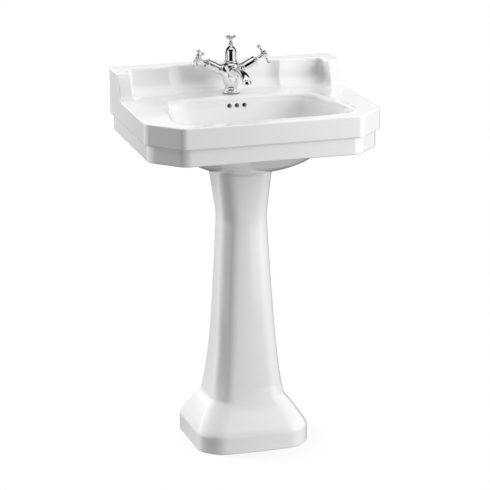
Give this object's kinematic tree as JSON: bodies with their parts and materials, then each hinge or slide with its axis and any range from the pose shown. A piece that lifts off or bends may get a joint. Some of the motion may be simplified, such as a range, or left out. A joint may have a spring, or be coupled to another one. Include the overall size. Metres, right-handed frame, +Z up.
{
  "type": "pedestal sink",
  "caption": "White vitreous china pedestal sink: chamfered basin with an upstand, waisted pedestal, chrome cross-handle mixer tap and pop-up waste.",
  "frame": {"origin": "on the floor, in the middle of the basin's plan", "axes": "+X to the user's right, +Y towards the wall, +Z up"},
  "size_m": [0.61, 0.47, 1.0485],
  "materials": {
    "china": "gloss white glaze",
    "pedestal_china": "gloss white glaze",
    "porcelain": "gloss off-white glaze",
    "chrome": "polished chrome plate",
    "brass": "machined",
    "copper": "drawn copper tube",
    "rubber": "matt",
    "white_plastic": "moulded polypropylene"
  },
  "bodies": {
    "basin_and_pedestal": {"basin": "china", "pedestal": "pedestal_china", "pedestal_pads": "rubber", "tap_gasket": "rubber", "tap_foot": "chrome", "tap_body": "chrome", "spout": "chrome", "aerator": "chrome", "hot_bonnet": "chrome", "cold_bonnet": "chrome", "hot_cartridge": "brass", "cold_cartridge": "brass", "column_cover": "chrome", "column_finial": "chrome", "tap_stud": "brass", "tap_washer": "rubber", "tap_horseshoe": "brass", "tap_nut": "brass", "hot_tail": "copper", "cold_tail": "copper", "waste_flange": "chrome", "waste_top_seal": "rubber", "waste_body": "brass", "waste_seal": "rubber", "waste_nut": "brass", "pivot_nut": "chrome", "trap_inlet_nut": "white_plastic", "trap_body": "white_plastic", "trap_cup": "white_plastic", "trap_cup_seal": "rubber", "trap_dip_tube": "white_plastic", "trap_outlet_nut": "white_plastic", "waste_pipe": "white_plastic", "hot_valve": "chrome", "cold_valve": "chrome", "hot_valve_nuts": "chrome", "cold_valve_nuts": "chrome", "hot_pipe": "copper", "cold_pipe": "copper"},
    "hot_tap": {"hot_spindle": "chrome", "hot_handle": "chrome", "hot_handle_screw": "brass", "hot_index": "porcelain"},
    "cold_tap": {"cold_spindle": "chrome", "cold_handle": "chrome", "cold_handle_screw": "brass", "cold_index": "porcelain"},
    "lift": {"lift_knob": "chrome", "lift_rod": "chrome", "clevis": "brass", "clevis_screws": "chrome"},
    "pivot": {"pivot_rod": "chrome"},
    "plug": {"waste_plug": "chrome", "plug_ring": "rubber"},
    "hot_stopcock": {"hot_valve_ball": "brass"},
    "cold_stopcock": {"cold_valve_ball": "brass"}
  },
  "joints": [
    {"name": "hot_handle_turn", "type": "hinge", "parent": "basin_and_pedestal", "child": "hot_tap", "pos_m": [-0.08829, 0.133, 0.99295], "axis": [-0.8829, 0, 0.4695], "range_deg": [0, 90]},
    {"name": "cold_handle_turn", "type": "hinge", "parent": "basin_and_pedestal", "child": "cold_tap", "pos_m": [0.08829, 0.133, 0.99295], "axis": [0.8829, 0, 0.4695], "range_deg": [-90, 0]},
    {"name": "knob_slide", "type": "slide", "parent": "basin_and_pedestal", "child": "lift", "axis": [0, 0, 1], "range_m": [0, 0.015]},
    {"name": "pivot_rod_tilt", "type": "hinge", "parent": "basin_and_pedestal", "child": "pivot", "pos_m": [0, 0.064, 0.7], "axis": [1, 0, 0], "range_deg": [0, 12.5]},
    {"name": "plug_drop", "type": "slide", "parent": "basin_and_pedestal", "child": "plug", "axis": [0, 0, 1], "range_m": [-0.0066, 0]},
    {"name": "hot_stopcock_turn", "type": "hinge", "parent": "basin_and_pedestal", "child": "hot_stopcock", "pos_m": [-0.038, 0.056, 0.455], "axis": [0, 1, 0], "range_deg": [0, 90]},
    {"name": "cold_stopcock_turn", "type": "hinge", "parent": "basin_and_pedestal", "child": "cold_stopcock", "pos_m": [0.038, 0.056, 0.455], "axis": [0, 1, 0], "range_deg": [0, 90]}
  ],
  "couplings": [
    {"joint": "pivot_rod_tilt", "follows": "knob_slide", "rad_per_m": 14.493},
    {"joint": "plug_drop", "follows": "knob_slide", "ratio": -0.43478}
  ]
}
